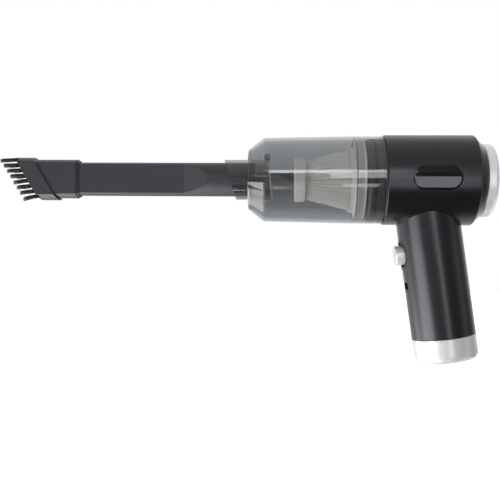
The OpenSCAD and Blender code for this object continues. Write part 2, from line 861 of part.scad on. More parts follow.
module rear_ring()
    color("silver")
    turned() polygon(concat(
        [
            [outlet_r, cone_end_a], [ring_r - seam_edge, cone_end_a], [ring_r, cone_end_a + seam_edge],
            [ring_r, ring_end_a - ring_edge_r - ring_edge_r / 4]
        ],
        arc_points(ring_rim_r, ring_end_a - ring_edge_r, ring_edge_r, 0, 90),
        [[outlet_r, ring_end_a]]
    ));

module exhaust_grille()
    color([0.07, 0.07, 0.08])
    along_axis() translate([grille_a, 0, 0]) rotate([0, 90, 0]) linear_extrude(grille_t) {
        difference() {
            circle(ring_root_r);
            circle(outlet_r - grille_rim_w);
        }
        for (i = [1 : grille_rings - 1]) difference() {
            circle(i * grille_pitch + grille_bar_w / 2);
            circle(i * grille_pitch - grille_bar_w / 2);
        }
        circle(grille_hub_r);
        for (i = [0 : grille_spokes - 1]) rotate(i * 360 / grille_spokes)
            translate([0, -grille_bar_w / 2]) square([outlet_r + over, grille_bar_w]);
    }

module exhaust_filter()
    color([0.25, 0.25, 0.26])
    rod(ring_root_r, foam_a, grille_a);

module fan_shroud()
    color([0.2, 0.2, 0.22])
    turned() polygon([
        [impeller_eye_r, shroud_a], [shroud_r, shroud_a],
        [shroud_r, motor_a], [spigot_root_r, motor_a],
        [spigot_root_r, motor_a + shroud_flange_t], [shroud_r - shroud_wall, motor_a + shroud_flange_t],
        [shroud_r - shroud_wall, shroud_a + shroud_wall], [impeller_eye_r, shroud_a + shroud_wall]
    ]);

module motor_mount()
    color([0.3, 0.3, 0.32])
    difference() {
        rod(shroud_r - shroud_wall - nest_gap / 2, mount_a, motor_a);
        rod(mount_hole_r, mount_a - over, motor_a + over);
        along_axis() for (i = [0 : mount_vents - 1]) rotate([(i + 0.5) * 360 / mount_vents, 0, 0])
            translate([mount_a - over, 0, (motor_r + shroud_r - shroud_wall) / 2]) rotate([0, 90, 0])
                cylinder(r = mount_vent_r, h = mount_t + 2 * over);
        for (s = [-1, 1]) motor_screw_rod(s, mount_screw_r, mount_a - over, motor_a + over);
    }

module motor_screw_rod(side, r, from, to)
    along_axis() translate([from, 0, side * mount_screw_off]) rotate([0, 90, 0])
        cylinder(r = r, h = to - from);

module motor_screws()
    color("silver") for (s = [-1, 1]) {
        motor_screw_rod(s, mount_screw_r - nest_gap, mount_a - screw_head_t / 4, motor_a + can_wall);
        motor_screw_rod(s, screw_head_r * 0.8, mount_a - screw_head_t / 2, mount_a);
    }

module motor_can()
    color("lightsteelblue")
    difference() {
        turned() polygon([
            [shaft_r + pin_gap, motor_a - bearing_len], [bearing_r, motor_a - bearing_len],
            [bearing_r, motor_a], [motor_r, motor_a], [motor_r, motor_end_a],
            [motor_r - can_wall, motor_end_a], [motor_r - can_wall, motor_a + can_wall],
            [shaft_r + pin_gap, motor_a + can_wall]
        ]);
        for (s = [-1, 1]) motor_screw_rod(s, mount_screw_r, motor_a - over, motor_a + can_wall + over);
    }

module motor_magnets()
    color("dimgray")
    along_axis() for (s = [0, 180]) rotate([s, 0, 0]) rotate([0, 90, 0]) rotate([0, 0, -magnet_angle / 2])
        rotate_extrude(angle = magnet_angle)
            translate([magnet_r - magnet_t, motor_a + magnet_inset])
                square([magnet_t, motor_len - 2 * magnet_inset]);

module motor_end_bell()
    color([0.12, 0.12, 0.13])
    turned() polygon([
        [shaft_r + pin_gap, motor_end_a], [motor_r - nest_gap, motor_end_a],
        [motor_r - nest_gap, motor_end_a + bell_len], [bearing_r, motor_end_a + bell_len],
        [bearing_r, motor_end_a + bell_len + bell_boss_len],
        [0, motor_end_a + bell_len + bell_boss_len], [0, motor_end_a + bell_len],
        [shaft_r + pin_gap, motor_end_a + bell_len]
    ]);

module rear_support()
    color([0.18, 0.18, 0.2])
    difference() {
        union() {
            ring(motor_r + nest_gap + support_ring_t, motor_r + nest_gap,
                 motor_end_a - support_from_end, motor_end_a - support_from_end + support_t);
            along_axis() for (i = [0 : support_spokes - 1])
                rotate([(i + 0.5) * 360 / support_spokes, 0, 0])
                    translate([
                        motor_end_a - support_from_end, -support_spoke_w / 2,
                        motor_r + support_ring_t / 2
                    ])
                        cube([support_t / 2, support_spoke_w, spigot_root_r - motor_r]);
        }
        ring(2 * housing_r, housing_bore_r - nest_gap, 0, 2 * ring_end_a);
    }

// Fan blade swept back along a widening angle
function blade_side(off, steps = 6) =
    [for (i = [0 : steps])
        let (r = blade_root_r + (blade_tip_r - blade_root_r) * i / steps,
             t = -blade_sweep * i / steps + off / r * 180 / PI)
        [r * cos(t), r * sin(t)]];

module impeller()
    color("white")
    along_axis() rotate([0, 90, 0]) {
        difference() {
            union() {
                translate([0, 0, blade_a + blade_h]) cylinder(r = impeller_r, h = backplate_t);
                translate([0, 0, blade_a]) cylinder(r = hub_r, h = blade_h + over);
                translate([0, 0, blade_a]) linear_extrude(blade_h + backplate_t / 2)
                    for (i = [0 : blades - 1]) rotate(i * 360 / blades)
                        polygon(concat(blade_side(0), [for (i = [6 : -1 : 0]) blade_side(blade_t)[i]]));
            }
            translate([0, 0, blade_a - over]) cylinder(r = shaft_r, h = blade_h + backplate_t + 2 * over);
        }
    }

module motor_shaft()
    color("silver")
    rod(shaft_r, blade_a, motor_end_a + bell_len - shaft_end_in);

module armature()
    color("peru")
    difference() {
        rod(armature_r, motor_a + armature_inset, motor_end_a - armature_inset);
        rod(shaft_r, motor_a, motor_end_a);
        along_axis() for (i = [0 : 2]) rotate([i * 120, 0, 0])
            translate([motor_a, -armature_slot_w / 2, armature_r / 2])
                cube([motor_len, armature_slot_w, armature_r]);
    }

module handle_shell()
    color([0.09, 0.09, 0.10])
    difference() {
        turned_on_handle() polygon([
            [handle_r - handle_wall, 0], [handle_r, 0], [handle_r, handle_len - seam_edge],
            [handle_r - seam_edge, handle_len], [handle_r - handle_wall, handle_len]
        ]);
        rod(housing_r + saddle_gap, 0, 2 * ring_end_a);
        front_rod(bezel_r + nest_gap, button_down, 0, 2 * handle_r);
        front_rod(led_r + nest_gap, port_down - led_up, 0, 2 * handle_r);
        port_block(port_w + 2 * port_wall + 2 * nest_gap, port_h + 2 * port_wall + 2 * nest_gap,
                   0, 2 * handle_r);
    }

module base_cap()
    color("silver") {
        turned_on_handle() polygon(concat(
            [[0, handle_len + cap_len], [cap_face_r, handle_len + cap_len]],
            arc_points(cap_face_r, handle_len + cap_len - cap_round_r, cap_round_r, 90, 0),
            [
                [cap_r, handle_len + seam_edge], [cap_r - seam_edge, handle_len],
                [cap_r - cap_wall, handle_len], [cap_r - cap_wall, handle_len + cap_len - cap_round_r],
                [cap_face_r, handle_len + cap_len - cap_floor_t], [0, handle_len + cap_len - cap_floor_t]
            ]
        ));
        along_handle() {
            for (t = cap_tab_angles) rotate([0, 0, t - cap_tab_angle / 2])
                rotate_extrude(angle = cap_tab_angle)
                    translate([cap_tab_r - cap_tab_t, handle_len - cap_tab_len])
                        square([cap_tab_t, cap_tab_len + cap_wall]);
            for (t = cap_tab_angles) rotate([0, 0, t - cap_tab_angle / 2])
                rotate_extrude(angle = cap_tab_angle)
                    translate([cap_tab_r - cap_tab_t, handle_len])
                        square([cap_tab_t + cap_wall, cap_wall]);
            for (t = [30, 150, 270]) rotate([0, 0, t]) translate([cap_post_out, 0, pack_end])
                cylinder(r = cap_post_r, h = foot_h - cap_floor_t / 2 - pack_end);
        }
    }

module button_bezel()
    color([0.05, 0.05, 0.06])
    difference() {
        union() {
            intersection() {
                front_rod(bezel_r, button_down, bezel_back_x, 2 * handle_r);
                along_handle() cylinder(r = handle_r + bezel_proud, h = handle_len);
            }
            front_rod(bezel_r + bezel_flange_out, button_down, bezel_back_x, bezel_flange_x);
        }
        front_rod(button_r + slide_gap, button_down, 0, 2 * handle_r);
        front_rod(bezel_r - bezel_wall, button_down, bezel_floor_x, 2 * handle_r);
        front_rod(button_r + button_flange_out + 2 * slide_gap, button_down,
                  0, bezel_floor_x - bezel_floor_t);
    }

module button_cap()
    color("silver")
    along_handle() translate([0, 0, button_down]) rotate([0, 90, 0]) rotate_extrude()
        polygon(concat(
            [[0, button_back_x], [button_r + button_flange_out, button_back_x],
             [button_r + button_flange_out, button_back_x + button_flange_t],
             [button_r, button_back_x + button_flange_t]],
            arc_points(button_r - button_edge_r, button_face_x - button_edge_r, button_edge_r, 0, 90, 4),
            [[0, button_face_x]]
        ));

module switch_body()
    color([0.2, 0.2, 0.2])
    difference() {
        along_handle() translate([board_face_x, -switch_w / 2, button_down - switch_w / 2])
            cube([switch_h, switch_w, switch_w]);
        front_rod(plunger_r + slide_gap, button_down, switch_x - plunger_in - slide_gap, switch_x + over);
    }

module switch_plunger()
    color("white")
    front_rod(plunger_r, button_down, switch_x - plunger_in + button_stroke, button_back_x);

// Block across the port, centred on it
module port_block(w, h, from, to)
    along_handle() translate([from, -w / 2, port_down - h / 2]) cube([to - from, w, h]);

module charge_port()
    color([0.04, 0.04, 0.05]) {
        difference() {
            intersection() {
                port_block(port_w + 2 * port_wall, port_h + 2 * port_wall, board_face_x, 2 * handle_r);
                along_handle() cylinder(r = handle_r - port_face_in, h = handle_len);
            }
            port_block(port_w, port_h, handle_r - port_depth, 2 * handle_r);
        }
    }

module status_led()
    color("white")
    intersection() {
        front_rod(led_r, port_down - led_up, board_face_x, 2 * handle_r);
        along_handle() cylinder(r = handle_r, h = handle_len);
    }

module control_board()
    color("darkgreen")
    difference() {
        along_handle() translate([board_x, -board_w / 2, board_top]) cube([board_t, board_w, board_len]);
        for (p = board_places)
            front_rod(board_screw_r + nest_gap, p[1], board_x - over, board_face_x + over, p[0]);
    }

module board_screws()
    color("silver") for (p = board_places) {
        front_rod(board_screw_r, p[1], board_face_x - board_screw_len,
                  board_face_x + board_screw_head_t / 2, p[0]);
        front_rod(board_screw_head_r, p[1], board_face_x, board_face_x + board_screw_head_t, p[0]);
    }

module battery_holder()
    color([0.2, 0.2, 0.35])
    difference() {
        union() {
            along_handle() intersection() {
                translate([0, 0, pack_top]) cylinder(r = pack_r, h = pack_end - pack_top);
                union() {
                    for (z = [pack_top, cell_end]) translate([-reach, -reach, z])
                        cube([reach + wall_x + pack_wall_t, 2 * reach, plate_t]);
                    translate([wall_x, -board_w / 2, pack_top])
                        cube([pack_wall_t, board_w, pack_end - pack_top]);
                }
            }
            for (p = board_places)
                front_rod(standoff_r, p[1], wall_x + pack_wall_t / 2, board_x, p[0]);
        }
        for (p = board_places)
            front_rod(board_screw_r, p[1], board_face_x - board_screw_len, board_x + over, p[0]);
    }

module battery_cells()
    color("steelblue")
    along_handle() for (s = [-1, 1]) translate([cell_back, s * cell_side, cell_top])
        cylinder(r = cell_r, h = cell_len);

function unit(v) = v / norm(v);

// Ring of a lead's surface at one point of its route, square to the way it runs there
function lead_ring(points, i) =
    let (last = len(points) - 1, run = unit(points[min(i + 1, last)] - points[max(i - 1, 0)]),
         u = unit(cross(run, [0, 1, 0])), v = cross(run, u))
    [for (k = [0 : lead_sides - 1]) let (t = 360 * k / lead_sides)
        points[i] + lead_r * (u * cos(t) + v * sin(t))];

// Lead: one tube along a route, with a flat end on each side
module lead(points) {
    n = lead_sides;
    rings = [for (i = [0 : len(points) - 1]) for (p = lead_ring(points, i)) p];
    ends = concat(
        [for (k = [1 : n - 2]) [0, k, k + 1]],
        [for (k = [1 : n - 2]) let (q = len(rings) - n) [q, q + k + 1, q + k]]
    );
    sides = [for (i = [0 : len(points) - 2]) for (k = [0 : n - 1])
        let (p = i * n + k, q = i * n + (k + 1) % n)
        for (f = [[p, p + n, q], [q, p + n, q + n]]) f];
    along_axis() polyhedron(rings, concat(ends, sides));
}

module motor_leads()
    color("red") for (s = [-1, 1])
        lead([
            from_handle(board_x + board_t / 2, s * lead_side, board_top - lead_r / 4),
            from_handle(board_x, s * lead_side, neck_end - 2 * lead_r),
            from_handle(wire_hole_r / 3, s * lead_side, 0.8 * neck_end),
            from_handle(wire_hole_r / 3, s * lead_side, housing_r - 2.5 * housing_wall),
            [lead_rise_a, s * lead_side, -lead_up],
            [lead_turn_a + lead_r, s * lead_side, -lead_up],
            [lead_turn_a, s * (bearing_r + lead_r), -motor_r / 2],
            [motor_end_a + bell_len, s * (bearing_r + lead_r), -motor_r / 2]
        ]);

// Tool section at any inset, flat in front and round behind the ramp
module tool_form(inset, from, to)
    intersection() {
        rod(tool_r - inset, from, to);
        along_axis() linear_extrude(2 * reach, center = true) polygon([
            [from - over, tool_flat - inset], [ramp_a, tool_flat - inset],
            [ramp_end_a, tool_r - inset], [ramp_end_a, tool_r], [to + over, tool_r],
            [to + over, -tool_r], [ramp_end_a, -tool_r], [ramp_end_a, -tool_r + inset],
            [ramp_a, -tool_flat + inset], [from - over, -tool_flat + inset]
        ]);
    }

module crevice_tool()
    color([0.17, 0.17, 0.18])
    difference() {
        intersection() {
            tool_form(0, -2 * tool_len, tool_end_a);
            between_cuts(tip_a, brush_lean, tool_end_a, 0);
        }
        tool_form(tool_wall, -2 * tool_len - over, tool_end_a + over);
    }

module brush_sleeve()
    color([0.16, 0.16, 0.17])
    difference() {
        union() {
            intersection() {
                flat_bar(sleeve_r, sleeve_flat, -2 * tool_len, sleeve_end_a - sleeve_lip_len);
                between_cuts(flange_front_a, brush_lean, sleeve_end_a, 0);
            }
            flat_bar(sleeve_r - sleeve_lip_in, sleeve_flat - sleeve_lip_in,
                     sleeve_end_a - 2 * sleeve_lip_len, sleeve_end_a);
            intersection() {
                flat_bar(flange_r, flange_flat, -2 * tool_len, 0);
                between_cuts(flange_front_a, brush_lean, flange_back_a, brush_lean);
            }
        }
        intersection() {
            flat_bar(socket_r, socket_flat, -2 * tool_len, 0);
            between_cuts(tip_a - slide_gap, brush_lean, reach, 0);
        }
        flat_bar(tool_r - tool_wall, duct_flat, -2 * tool_len, 0);
        for (s = [-1, 1]) strip(s, strip_gap, over);
    }

// Backing strip of a bristle row, let into the flange's slanted front
module strip(side, gap, front)
    along_axis() translate([flange_front_a, 0, 0]) rotate([0, -brush_lean, 0])
        translate([-front, side * strip_y - strip_w / 2 - gap, -strip_slant_len / 2 - gap])
            cube([strip_t + front, strip_w + 2 * gap, strip_slant_len + 2 * gap]);

// Tuft: strands on a sunflower spiral that spread a little towards their tips
module tuft(side, i) {
    z = (i - (tufts - 1) / 2) * tuft_pitch;
    along_axis() translate([flange_front_a - z * tan(brush_lean) + root_in, side * strip_y, z])
        for (k = [0 : tuft_strands - 1])
            let (q = tuft_r * sqrt((k + 0.5) / tuft_strands), t = k * 137.508)
                translate([0, q * cos(t), q * sin(t)])
                    rotate([0, -90 + splay * q / tuft_r * sin(t), -splay * q / tuft_r * cos(t)])
                        cylinder(r = strand_r, h = bristle_len + root_in, $fn = 4);
}

module bristles(side)
    color([0.05, 0.05, 0.05]) {
        strip(side, 0, 0);
        for (i = [0 : tufts - 1]) tuft(side, i);
    }

module bristles_left() bristles(-1);

module bristles_right() bristles(1);

housing_left();
housing_right();
housing_spigot();
spigot_seal();
housing_screws();
badge_left();
badge_right();
rear_cone();
rear_ring();
exhaust_grille();
exhaust_filter();
fan_shroud();
motor_mount();
motor_screws();
motor_can();
motor_magnets();
motor_end_bell();
rear_support();
handle_shell();
base_cap();
button_bezel();
switch_body();
charge_port();
status_led();
control_board();
board_screws();
battery_holder();
battery_cells();
motor_leads();
impeller();
motor_shaft();
armature();
button_cap();
switch_plunger();
cup_collar();
filter_flange();
filter_media();
filter_cap();
filter_cage();
dust_cup();
flap_pin();
inlet_flap();
crevice_tool();
brush_sleeve();
bristles_left();
bristles_right();
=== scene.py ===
import math
import bmesh
import bpy
import numpy as np
from mathutils import Matrix, Vector


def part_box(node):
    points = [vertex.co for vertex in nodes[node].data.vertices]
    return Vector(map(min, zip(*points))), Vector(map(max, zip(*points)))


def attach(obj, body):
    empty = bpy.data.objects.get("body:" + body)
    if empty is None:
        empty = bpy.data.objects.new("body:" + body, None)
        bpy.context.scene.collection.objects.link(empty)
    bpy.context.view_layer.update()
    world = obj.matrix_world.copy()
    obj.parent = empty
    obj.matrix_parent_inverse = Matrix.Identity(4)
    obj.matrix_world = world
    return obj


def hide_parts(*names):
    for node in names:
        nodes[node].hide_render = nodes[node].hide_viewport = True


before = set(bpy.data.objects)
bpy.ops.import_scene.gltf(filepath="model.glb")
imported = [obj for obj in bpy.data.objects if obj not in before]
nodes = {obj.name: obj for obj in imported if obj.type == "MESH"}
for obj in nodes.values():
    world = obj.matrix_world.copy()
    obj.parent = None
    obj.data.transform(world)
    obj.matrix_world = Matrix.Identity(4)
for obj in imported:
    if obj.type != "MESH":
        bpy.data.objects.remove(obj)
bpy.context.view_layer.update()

# Camera: level with the power button, square to the nozzle but turned a little, so that the
# outlet end stands slightly nearer. It frames the whole length, nozzle to the left. Its place
# is counted from the middle of the cup's front face, the cup's lip ends CUP_REACH behind that
# face, and the angles are in degrees.
AXIS_Z = sum(corner.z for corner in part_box("rear_ring")) / 2
CUP_REACH = 0.080
CUP_FRONT_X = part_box("dust_cup")[1].x - CUP_REACH
CAMERA_AWAY = 0.4959
CAMERA_X = 0.0249
CAMERA_DROP = 0.0512
CAMERA_YAW, CAMERA_PITCH, CAMERA_ROLL = 2.724, 0.041, 0.488
FOCAL_SHARE = 685.4 / 500
SENSOR = 36
NEAREST = 0.01
camera = bpy.data.objects.new("view", bpy.data.cameras.new("view"))
camera.data.sensor_width = SENSOR
camera.data.lens = SENSOR * FOCAL_SHARE
camera.data.clip_start = NEAREST
bpy.context.scene.collection.objects.link(camera)
yaw, pitch, roll = map(math.radians, (CAMERA_YAW, CAMERA_PITCH, CAMERA_ROLL))
look = Vector((-math.sin(yaw) * math.cos(pitch), math.cos(yaw) * math.cos(pitch), math.sin(pitch)))
right = Vector((math.cos(yaw), math.sin(yaw), 0))
turn = Matrix((right, right.cross(look), -look)).transposed() @ Matrix.Rotation(roll, 3, "Z")
place = Vector((CUP_FRONT_X + CAMERA_X, -CAMERA_AWAY, AXIS_Z - CAMERA_DROP))
camera.matrix_world = Matrix.Translation(place) @ turn.to_4x4()
bpy.context.scene.camera = camera
bpy.context.scene.view_settings.view_transform = "Standard"


# Studio: a white room, bright behind the object and above it, soft below, on a pale floor.
# Strip lamps in front give the long lines on the clear and dark parts, and large low softboxes
# light the nozzle's side. Each pair here is (one part of the direction, brightness). BEHIND fades
# in the bright back, and FLAG, whose pairs are shifts, holds it off towards the outlet. UPWARD
# lights the rest by height, OUTLET_SIDE and CAMERA_SIDE dim it, and BELOW leaves a dark band
# under the object. THROUGH is what shows through clear parts.
BEHIND = ((-0.2, 0), (0.35, 1))
FLAG = ((0, 0), (0.8, 0.4))
UPWARD = ((-1, 0.22), (-0.5, 0.18), (-0.1, 0.25), (0.3, 0.50), (0.7, 0.72), (1, 0.85))
OUTLET_SIDE = ((0.05, 1), (0.4, 0.85))
CAMERA_SIDE = ((-0.97, 0.45), (-0.93, 1))
BELOW = ((-0.9, 0), (-0.8, 1))
BELOW_WIDTH = ((-0.08, 1), (-0.05, 0), (0.05, 0), (0.08, 1))
THROUGH = ((-0.1, 0.40), (0.02, 0.86), (0.045, 0.57), (0.058, 0.54), (0.0605, 0.51), (0.08, 0.32),
           (0.095, 0.20), (0.104, 0.10), (0.112, 0.10), (0.114, 0.56), (0.13, 0.60), (0.16, 0.80),
           (0.25, 0.45))
THROUGH_LOW, THROUGH_HIGH, THROUGH_TINT = -0.2, 0.3, (0.93, 1, 1.06)
WHITE = (1, 1, 1, 1)
MIX_A, MIX_B, MIX_RESULT = 6, 7, 2


def sky():
    """World light by direction: white behind, soft above, dim below. What is seen through
    clear parts is a room of its own, a few shades darker, darkest just above eye level."""
    world = bpy.data.worlds.new("studio")
    bpy.context.scene.world = world
    world.use_nodes = True
    tree = world.node_tree
    back = tree.nodes["Background"]
    coord = tree.nodes.new("ShaderNodeTexCoord")
    split = tree.nodes.new("ShaderNodeSeparateXYZ")
    tree.links.new(coord.outputs["Generated"], split.inputs[0])

    def ramp(source, stops, low=-1, high=1, tint=(1, 1, 1)):
        node = tree.nodes.new("ShaderNodeValToRGB")
        shift = tree.nodes.new("ShaderNodeMapRange")
        shift.inputs["From Min"].default_value = low
        shift.inputs["From Max"].default_value = high
        tree.links.new(source, shift.inputs["Value"])
        tree.links.new(shift.outputs[0], node.inputs[0])
        while len(node.color_ramp.elements) < len(stops):
            node.color_ramp.elements.new(0.5)
        for element, (at, value) in zip(node.color_ramp.elements, stops):
            element.position = (at - low) / (high - low)
            element.color = (*(value * part for part in tint), 1)
        return node.outputs[0]

    def maths(kind, one, two):
        node = tree.nodes.new("ShaderNodeMath")
        node.operation = kind
        for i, value in enumerate((one, two)):
            if isinstance(value, (int, float)):
                node.inputs[i].default_value = value
            else:
                tree.links.new(value, node.inputs[i])
        return node.outputs[0]

    def pick(switch, off, on):
        node = tree.nodes.new("ShaderNodeMix")
        node.data_type = "RGBA"
        tree.links.new(switch, node.inputs[0])
        for i, value in ((MIX_A, off), (MIX_B, on)):
            if isinstance(value, tuple):
                node.inputs[i].default_value = value
            else:
                tree.links.new(value, node.inputs[i])
        return node.outputs[MIX_RESULT]

    x, y, z = split.outputs
    behind = ramp(maths("SUBTRACT", y, ramp(x, FLAG)), BEHIND)
    height = ramp(z, UPWARD)
    aside = maths("MULTIPLY", ramp(x, OUTLET_SIDE), ramp(y, CAMERA_SIDE))
    gap = maths("MAXIMUM", ramp(y, BELOW_WIDTH), ramp(z, BELOW))
    room = maths("MAXIMUM", maths("MULTIPLY", maths("MULTIPLY", height, aside), gap), behind)
    through = ramp(z, THROUGH, THROUGH_LOW, THROUGH_HIGH, THROUGH_TINT)
    light = tree.nodes.new("ShaderNodeLightPath")
    passed = maths("GREATER_THAN", light.outputs["Transparent Depth"], 0.5)
    seen = pick(passed, WHITE, through)
    tree.links.new(pick(light.outputs["Is Camera Ray"], room, seen), back.inputs["Color"])


LAMP_AIM_X, STRIP_AWAY, SOFTBOX_AWAY = -0.07, 1.6, 1.3


def softbox(name, azimuth, elevation, away, width, height, radiance):
    """Rectangular lamp that faces the object, placed by its angles from the object's middle, in
    degrees: azimuth counts from the camera side towards the nozzle."""
    lamp = bpy.data.lights.new(name, "AREA")
    lamp.shape = "RECTANGLE"
    lamp.size, lamp.size_y = width, height
    lamp.energy = radiance * math.pi * width * height
    box = bpy.data.objects.new(name, lamp)
    side, up = math.radians(azimuth), math.radians(elevation)
    aim = Vector((LAMP_AIM_X, 0, AXIS_Z))
    way = Vector((-math.sin(side) * math.cos(up), -math.cos(side) * math.cos(up), math.sin(up)))
    box.location = aim + away * way
    box.rotation_euler = way.to_track_quat("Z", "Y").to_euler()
    bpy.context.scene.collection.objects.link(box)


def strip_lamp(name, azimuths, elevations, radiance):
    """Softbox that covers the given spans of azimuth and elevation."""
    middle = [sum(span) / 2 for span in (azimuths, elevations)]
    width, height = (2 * STRIP_AWAY * math.tan(math.radians(abs(span[1] - span[0]) / 2))
                     for span in (azimuths, elevations))
    softbox(name, *middle, STRIP_AWAY, width, height, radiance)


sky()
for name, azimuths, elevations, radiance in (
        ("front strip", (5, -11), (13, 21), 7.3),
        ("front panel", (-1.3, -11), (0, 12), 4.6),
        ("inlay panel", (-11, -18), (-22, 4), 5.2),
        ("low panel", (-2.8, -8.7), (-23.5, -14.5), 3.4),
        ("front fill", (40, 3), (-35, 8), 0.45),
        ("outlet side strip", (-66, -88), (-35, 8), 0.6)):
    strip_lamp(name, azimuths, elevations, radiance)
for name, azimuth, elevation, width, height, radiance in (
        ("nozzle side softbox", 61.5, -40, 1.0, 1.75, 6.5),
        ("nozzle end card", 108, -18, 0.9, 0.5, 0.9),
        ("low nozzle card", 102, -48, 1.2, 1.4, 3.8),
        ("outlet end card", -105, -45, 1.2, 0.6, 1.6)):
    softbox(name, azimuth, elevation, SOFTBOX_AWAY, width, height, radiance)

FLOOR_Z, FLOOR_REACH = -0.3, 6
floor_mesh = bpy.data.meshes.new("floor")
floor_mesh.from_pydata([(x * FLOOR_REACH, y * FLOOR_REACH, FLOOR_Z)
                        for x, y in ((-1, -1), (1, -1), (1, 1), (-1, 1))], [], [(0, 1, 2, 3)])
floor = bpy.data.objects.new("floor", floor_mesh)
bpy.context.scene.collection.objects.link(floor)
pale = bpy.data.materials.new("pale floor")
pale.use_nodes = True
for label, value in (("Base Color", (0.9, 0.9, 0.9, 1)), ("Roughness", 0.9),
                     ("Emission Color", WHITE), ("Emission Strength", 0.6)):
    pale.node_tree.nodes["Principled BSDF"].inputs[label].default_value = value
floor_mesh.materials.append(pale)
floor.visible_glossy = floor.visible_diffuse = floor.visible_transmission = False


# Body: two black moulded halves, the handle tube that slides on their neck, and the spigot that
# stands out in front of them into the collar. The moulds leave a fine satin texture, which blurs
# every reflection a little. The dark plastics mirror slightly cool, as their black is bluish.
GRAIN_DETAIL, PATCH_DETAIL, NOISE_MIDDLE = 3, 4, 0.5


def moulded_skin():
    """Node group: fine grains raise the surface, and a wide slow noise changes gloss and tone."""
    made = bpy.data.node_groups.new("moulded skin", "ShaderNodeTree")
    for label, value in (("Grain size", 0.0004), ("Grain height", 0.00001),
                         ("Roughness", 0.4), ("Spread", 0.05), ("Patch size", 0.015)):
        socket = made.interface.new_socket(label, in_out="INPUT", socket_type="NodeSocketFloat")
        socket.default_value = value
    for label, kind in (("Tone", "Float"), ("Roughness", "Float"), ("Normal", "Vector")):
        made.interface.new_socket(label, in_out="OUTPUT", socket_type="NodeSocket" + kind)
    new, link = made.nodes.new, made.links.new
    feed, out, coord = new("NodeGroupInput"), new("NodeGroupOutput"), new("ShaderNodeTexCoord")

    def noise(size, detail):
        scale, cloud = new("ShaderNodeMath"), new("ShaderNodeTexNoise")
        scale.operation = "DIVIDE"
        scale.inputs[0].default_value = 1
        cloud.inputs["Detail"].default_value = detail
        link(size, scale.inputs[1])
        link(scale.outputs[0], cloud.inputs["Scale"])
        link(coord.outputs["Object"], cloud.inputs["Vector"])
        return cloud.outputs[0]

    bump = new("ShaderNodeBump")
    bump.inputs["Strength"].default_value = 1
    link(feed.outputs["Grain height"], bump.inputs["Distance"])
    link(noise(feed.outputs["Grain size"], GRAIN_DETAIL), bump.inputs["Height"])
    wide = noise(feed.outputs["Patch size"], PATCH_DETAIL)
    centre, vary = new("ShaderNodeMath"), new("ShaderNodeMath")
    centre.operation, vary.operation = "SUBTRACT", "MULTIPLY_ADD"
    centre.inputs[1].default_value = NOISE_MIDDLE
    link(wide, centre.inputs[0])
    link(centre.outputs[0], vary.inputs[0])
    link(feed.outputs["Spread"], vary.inputs[1])
    link(feed.outputs["Roughness"], vary.inputs[2])
    link(wide, out.inputs["Tone"])
    link(vary.outputs[0], out.inputs["Roughness"])
    link(bump.outputs[0], out.inputs["Normal"])
    return made


SKIN = moulded_skin()


def finish_of(name, color, skin, shade=0.8, **fixed):
    """Principled material with the moulded skin at (grain size, grain height, roughness, spread).
    Its colour drifts between the given one and shade times it. The rest are sockets by name."""
    made = bpy.data.materials.new(name)
    made.use_nodes = True
    new, link = made.node_tree.nodes.new, made.node_tree.links.new
    shader = made.node_tree.nodes["Principled BSDF"]
    for label, value in fixed.items():
        shader.inputs[label.replace("_", " ")].default_value = value
    node, drift = new("ShaderNodeGroup"), new("ShaderNodeMix")
    node.node_tree = SKIN
    for socket, value in zip(node.inputs, skin):
        socket.default_value = value
    drift.data_type = "RGBA"
    drift.inputs[MIX_A].default_value = (*color, 1)
    drift.inputs[MIX_B].default_value = (*(shade * value for value in color), 1)
    link(node.outputs["Tone"], drift.inputs[0])
    link(drift.outputs[MIX_RESULT], shader.inputs["Base Color"])
    link(node.outputs["Roughness"], shader.inputs["Roughness"])
    link(node.outputs["Normal"], shader.inputs["Normal"])
    return made


def dress(material, *names):
    """Gives the material to CAD nodes."""
    for name in names:
        for slot in nodes[name].material_slots:
            slot.material = material


COOL = (0.93, 0.91, 1, 1)
dress(finish_of("satin black", (0.0042, 0.0042, 0.0052), (0.0005, 0.000012, 0.29, 0.05),
                Specular_Tint=COOL), "housing_left", "housing_right", "handle_shell")
dress(finish_of("spigot black", (0.062, 0.062, 0.070), (0.0006, 0.00001, 0.42, 0.05)),
      "housing_spigot")


# Inlays: one oblong in each side of the body, high-gloss black plastic pressed into a recess.
# Their edges are rounded, and their faces follow the body. They are bare.
INLAY_EDGE, INLAY_T, INLAY_GROW, MERGE_WITHIN = 0.0005, 0.0009, 0.00016, 0.000002
INLAY_LONG, INLAY_ROUND, INLAY_EDGE_RINGS = 24, 20, 7
INLAY_INWARD = (1, 0.8, 0.6, 0.4, 0.25, 0.15)


def tube_mesh(name, grids):
    """Mesh of closed tubes: each grid (rings, points, 3) is a surface round a path. Every point is
    joined to its neighbour on the ring and to the next ring."""
    points, faces, base = [], [], 0
    for grid in grids:
        rings, count = grid.shape[:2]
        index = base + np.arange(rings * count).reshape(rings, count)
        here, along = index[:-1], index[1:]
        quads = np.stack([here, along, np.roll(along, -1, 1), np.roll(here, -1, 1)], -1)
        points.append(grid.reshape(-1, 3))
        faces.append(quads.reshape(-1, 4))
        base += rings * count
    mesh = bpy.data.meshes.new(name)
    points, faces = np.concatenate(points), np.concatenate(faces)
    mesh.from_pydata(points.tolist(), [], faces.tolist())
    mesh.polygons.foreach_set("use_smooth", np.ones(len(faces), bool))
    mesh.update()
    return mesh


def add_piece(mesh, material, body, slot, *stands_for):
    """Puts a finished mesh into the scene, on a body, in the place of CAD nodes."""
    mesh.materials.append(material)
    piece = bpy.data.objects.new(mesh.name, mesh)
    bpy.context.scene.collection.objects.link(piece)
    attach(piece, body)
    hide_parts(*stands_for)


